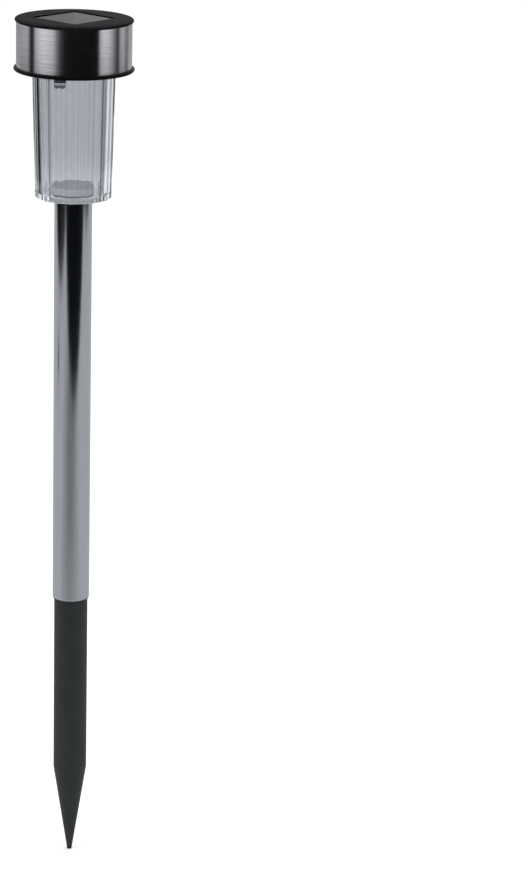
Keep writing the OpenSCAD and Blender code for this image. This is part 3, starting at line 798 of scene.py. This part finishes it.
def panel_places(tree):
    """A point's place, and how far along the panel's two sides it is. They are turned by 45 degrees."""
    places, x, y, z = surface_places(tree)
    part = math.sqrt(0.5)
    along, across = [maths(tree, "MULTIPLY_ADD", x, part, maths(tree, "MULTIPLY", y, sign * part))
                     for sign in (-1, 1)]
    return places, along, across


def stripes(tree, along, pitch, width, offset=0.0):
    """1 on lines of a width that repeat at a pitch, and 0 between them."""
    lines = maths(tree, "MULTIPLY_ADD", along, 1 / pitch, 0.5 + offset / pitch)
    off = maths(tree, "ABSOLUTE", maths(tree, "SUBTRACT", maths(tree, "FRACT", lines), 0.5))
    return maths(tree, "LESS_THAN", off, width / pitch / 2)


silicon, tree, shader = new_material("silicon_grey")
places, along, across = panel_places(tree)
crystal = node(tree, "ShaderNodeTexVoronoi", {"Vector": places, "Scale": 420.0}).outputs["Color"]
grey = node(tree, "ShaderNodeSeparateColor", {"Color": crystal}).outputs[0]
silicon_shade = two_tones(tree, grey, (0.21, 0.235, 0.245), (0.29, 0.315, 0.325))
fingers = stripes(tree, along, 1.1 * mm, 0.09 * mm)
busbar_pitch = 11.2 * mm
busbars = stripes(tree, across, busbar_pitch, 0.35 * mm, busbar_pitch / 2)
silver = maths(tree, "MULTIPLY", maths(tree, "MAXIMUM", fingers, busbars), 0.3)
cell_shade = two_tones(tree, silver, silicon_shade, (0.45, 0.45, 0.45))
dress(tree, shader, cell_shade, stretched(tree, grey, 0.0, 1.0, 0.36, 0.46))
finish_node("solar_cell", silicon)

clear_resin, tree, shader = new_material("clear_resin")
dimples = noise(tree, surface_places(tree)[0], 900.0, 2.0)
resin_tint = two_tones(tree, dimples, (0.93, 0.94, 0.95), (0.97, 0.975, 0.98))
dress(tree, shader, resin_tint, height=dimples, depth=3e-6)
shader.inputs["Transmission Weight"].default_value = 1
shader.inputs["Roughness"].default_value = 0.08
shader.inputs["IOR"].default_value = 1.3
finish_node("cell_window", clear_resin)

# ---------------------------------------------------------------------------------------------
# The battery is a rechargeable cell: a drawn steel can in a shrunk green sleeve, held between two
# plated spring contacts.
def plated(name, colour, other, roughness, scale):
    """Plated or drawn metal: a cloudy tone, fine scratches and a roughness that wanders."""
    material, tree, shader = new_material(name)
    places = surface_places(tree)[0]
    clouds = noise(tree, places, scale, 4.0)
    scratches = noise(tree, places, scale * 9, 3.0, Distortion=1.5)
    rough = stretched(tree, scratches, 0.3, 0.7, roughness - 0.05, roughness + 0.07)
    dress(tree, shader, two_tones(tree, clouds, colour, other), rough, scratches, 2e-6)
    shader.inputs["Metallic"].default_value = 1
    return material


finish_node("battery_can", plated("battery_steel_drawn", (0.56, 0.56, 0.55), (0.66, 0.66, 0.65), 0.3, 260))
battery_green = grained("battery_wrap_green", (0.012, 0.09, 0.045), (0.018, 0.115, 0.058), 0.28,
                        grain=0.8 * mm, depth=4e-6)
finish_node("battery_sleeve", battery_green)
for contact in ("positive_contact", "negative_contact"):
    contact_plate = plated("spring_" + contact, (0.6, 0.56, 0.45), (0.7, 0.66, 0.56), 0.26, 420)
    finish_node(contact, contact_plate)

# ---------------------------------------------------------------------------------------------
# The circuit board is glass laminate under a green mask, with copper tracks that show through it.
# It carries the driver in black epoxy and a choke with a dipped coat.
mask, tree, shader = new_material("board_green_mask")
places, along, across = panel_places(tree)
weave = noise(tree, places, 2600.0, 2.0)
pin_pitch = 2.54 * mm
track_w = 0.5 * mm
tracks = stripes(tree, along, pin_pitch, track_w)
cross_tracks = stripes(tree, across, 2 * pin_pitch, track_w, 1.2 * mm)
copper = maths(tree, "MAXIMUM", tracks, cross_tracks)
laminate = two_tones(tree, weave, (0.006, 0.075, 0.03), (0.012, 0.1, 0.042))
masked = two_tones(tree, copper, laminate, (0.03, 0.19, 0.07))
dress(tree, shader, masked, stretched(tree, weave, 0.0, 1.0, 0.24, 0.36), copper, 20e-6, 0.6)
finish_node("circuit_board", mask)
chip_black = grained("chip_black_epoxy", (0.009, 0.009, 0.01), (0.016, 0.016, 0.017), 0.48, grain=0.12 * mm)
finish_node("driver_chip", chip_black)
choke_green = grained("choke_green_coat", (0.05, 0.16, 0.11), (0.07, 0.2, 0.14), 0.25, grain=0.9 * mm)
finish_node("inductor", choke_green)

# ---------------------------------------------------------------------------------------------
# The LED is cast in clear epoxy round two tinned legs, and stands off the board on a black spacer.
# Its dome points down into the lens.
clear_epoxy, tree, shader = new_material("led_clear_epoxy")
ripple = noise(tree, surface_places(tree)[0], 700.0, 2.0)
epoxy_tint = two_tones(tree, ripple, (0.9, 0.92, 0.95), (0.95, 0.96, 0.98))
dress(tree, shader, epoxy_tint, height=ripple, depth=4e-6)
shader.inputs["Transmission Weight"].default_value = 1
shader.inputs["Roughness"].default_value = 0.06
shader.inputs["IOR"].default_value = 1.5
finish_node("led_dome", clear_epoxy)

# Inside the epoxy one leg ends in the little dish that holds the chip, and the other in a flat post.
led_low, led_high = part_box("led_dome")
legs_low, legs_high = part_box("led_legs")
led_axis = Vector(((led_low.x + led_high.x) / 2, (led_low.y + led_high.y) / 2, 0))
leg_w = 0.5 * mm
leg_gap = 1.27 * mm
leg_way = Vector((math.sqrt(0.5), -math.sqrt(0.5), 0))
post_place = leg_gap * 0.86
post_half_w = leg_w * 0.75
post_l = 0.6 * mm
post_gap = 0.02 * mm
dish_off = 0.25 * mm
dish_top = legs_low.z - 0.1 * mm
dish_floor = dish_top - 0.35 * mm
dish_rim = dish_top - 0.95 * mm


def leg_box(work, along, half_w, low, high):
    """A bar that stands beside the LED's axis, with its sides along and across the row of legs."""
    across = Vector((-leg_way.y, leg_way.x, 0))
    ends = []
    for z in (low, high):
        middle = led_axis + leg_way * along + Vector((0, 0, z))
        ends.append([work.verts.new(middle + leg_way * (a * half_w) + across * (b * leg_w / 2))
                     for a, b in ((-1, -1), (1, -1), (1, 1), (-1, 1))])
    work.faces.new(ends[0][::-1])
    work.faces.new(ends[1])
    for i in range(4):
        j = (i + 1) % 4
        work.faces.new((ends[0][i], ends[0][j], ends[1][j], ends[1][i]))


def dish_point(r, z, angle):
    """A point of the dish, which stands a little to one side of the LED's axis."""
    return led_axis - leg_way * dish_off + Vector(on_circle(r, z, angle))


def make_legs(work):
    for side in (-1, 1):
        leg_box(work, side * leg_gap, leg_w / 2, legs_low.z, legs_high.z)
    leg_box(work, post_place, post_half_w, legs_low.z - post_l, legs_low.z - post_gap)
    outline = [(0, dish_floor), (0.32 * mm, dish_floor), (0.72 * mm, dish_rim), (0.86 * mm, dish_rim),
               (0.8 * mm, dish_top), (0, dish_top)]
    turn(work, outline, even_angles(32), dish_point)


legs = new_piece("led_leadframe", make_legs)
bevel = legs.modifiers.new("edges", "BEVEL")
bevel.width = 0.05 * mm
bevel.segments = 2
bevel.limit_method = "ANGLE"
legs.data.materials.append(plated("tinned_legs", (0.6, 0.6, 0.61), (0.72, 0.72, 0.73), 0.28, 500))
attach(legs, "head")
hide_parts("led_legs")
spacer_black = grained("spacer_black_nylon", (0.008, 0.008, 0.009), (0.014, 0.014, 0.015), 0.5)
finish_node("led_spacer", spacer_black)

# ---------------------------------------------------------------------------------------------
# The slide switch has a black nylon case, and a white knob that is reached from under the head. It
# connects the battery to the board.
case_black = grained("switch_black_nylon", (0.012, 0.012, 0.013), (0.02, 0.02, 0.021), 0.5,
                     grain=0.25 * mm)
finish_node("switch_case", case_black)
knob_white = grained("knob_white_acetal", (0.62, 0.61, 0.58), (0.7, 0.69, 0.66), 0.38, grain=0.3 * mm)
finish_node("switch_knob", knob_white)

# ---------------------------------------------------------------------------------------------
# The wires are stranded copper in coloured plastic: red and black stay with their own ends, and
# yellow goes to the switch. Three zinc-plated screws hold the cap down.
wire_grain = 0.5 * mm
wire_red = grained("wire_red_pvc", (0.42, 0.016, 0.014), (0.5, 0.025, 0.02), 0.32, grain=wire_grain)
finish_node("panel_wires", wire_red)
wire_black = grained("wire_black_pvc", (0.01, 0.01, 0.011), (0.018, 0.018, 0.019), 0.34, grain=wire_grain)
finish_node("battery_wires", wire_black)
wire_yellow = grained("wire_yellow_pvc", (0.62, 0.42, 0.02), (0.7, 0.49, 0.03), 0.32, grain=wire_grain)
finish_node("switch_wires", wire_yellow)
finish_node("case_screws", plated("screw_zinc", (0.5, 0.51, 0.53), (0.62, 0.62, 0.63), 0.26, 600))
